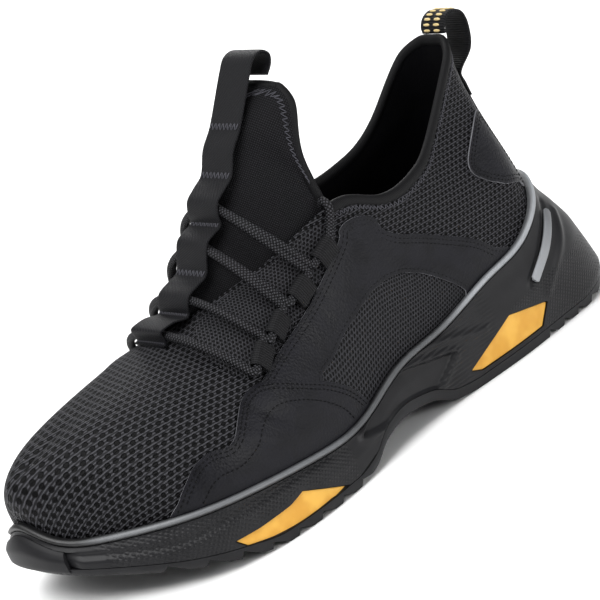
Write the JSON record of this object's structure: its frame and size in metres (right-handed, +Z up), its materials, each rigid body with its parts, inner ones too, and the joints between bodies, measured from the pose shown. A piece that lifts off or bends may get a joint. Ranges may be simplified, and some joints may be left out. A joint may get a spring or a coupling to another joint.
{
  "type": "safety sneaker",
  "caption": "Left safety sneaker in black mesh and leather on a sawtooth sole with gold inserts, a round lace through side loops and ribbon tunnels, and a heel pull loop.",
  "frame": {"origin": "On the floor, under the middle of the box round the shoe.", "axes": "+Z is up, from the sole to the collar. The toe points to -Y and the heel to +Y. The lateral side faces +X."},
  "size_m": [0.1102, 0.296, 0.1639],
  "materials": {
    "outsole_rubber": "dark grey matte rubber",
    "midsole_foam": "dark grey moulded foam, fine hatch",
    "insert_gold": "pale gold, satin",
    "rim_silver": "silver paint, satin",
    "insole_cloth": "black plush cloth",
    "upper_mesh": "black open air mesh",
    "tongue_knit": "black fine knit",
    "webbing": "black twill webbing with a sheen",
    "grosgrain": "dark grey ribbed tape",
    "lace_braid": "dark grey round braid"
  },
  "bodies": {
    "root": {"outsole": "outsole_rubber", "midsole": "midsole_foam", "insert_forefoot_lateral": "insert_gold", "insert_forefoot_medial": "insert_gold", "insert_heel_lateral": "insert_gold", "insert_heel_medial": "insert_gold", "rim_strip": "rim_silver", "heel_bar_lateral": "rim_silver", "heel_bar_medial": "rim_silver", "insole": "insole_cloth", "upper": "upper_mesh", "tongue": "tongue_knit", "tongue_ribbon": "webbing", "side_loop_lateral_1": "grosgrain", "side_loop_lateral_2": "grosgrain", "side_loop_lateral_3": "grosgrain", "side_loop_lateral_4": "grosgrain", "side_loop_medial_1": "grosgrain", "side_loop_medial_2": "grosgrain", "side_loop_medial_3": "grosgrain", "side_loop_medial_4": "grosgrain", "lace_cross_1": "lace_braid", "lace_cross_2": "lace_braid", "lace_cross_3": "lace_braid", "lace_bar_4": "lace_braid", "heel_pull_loop": "webbing"}
  },
  "joints": []
}
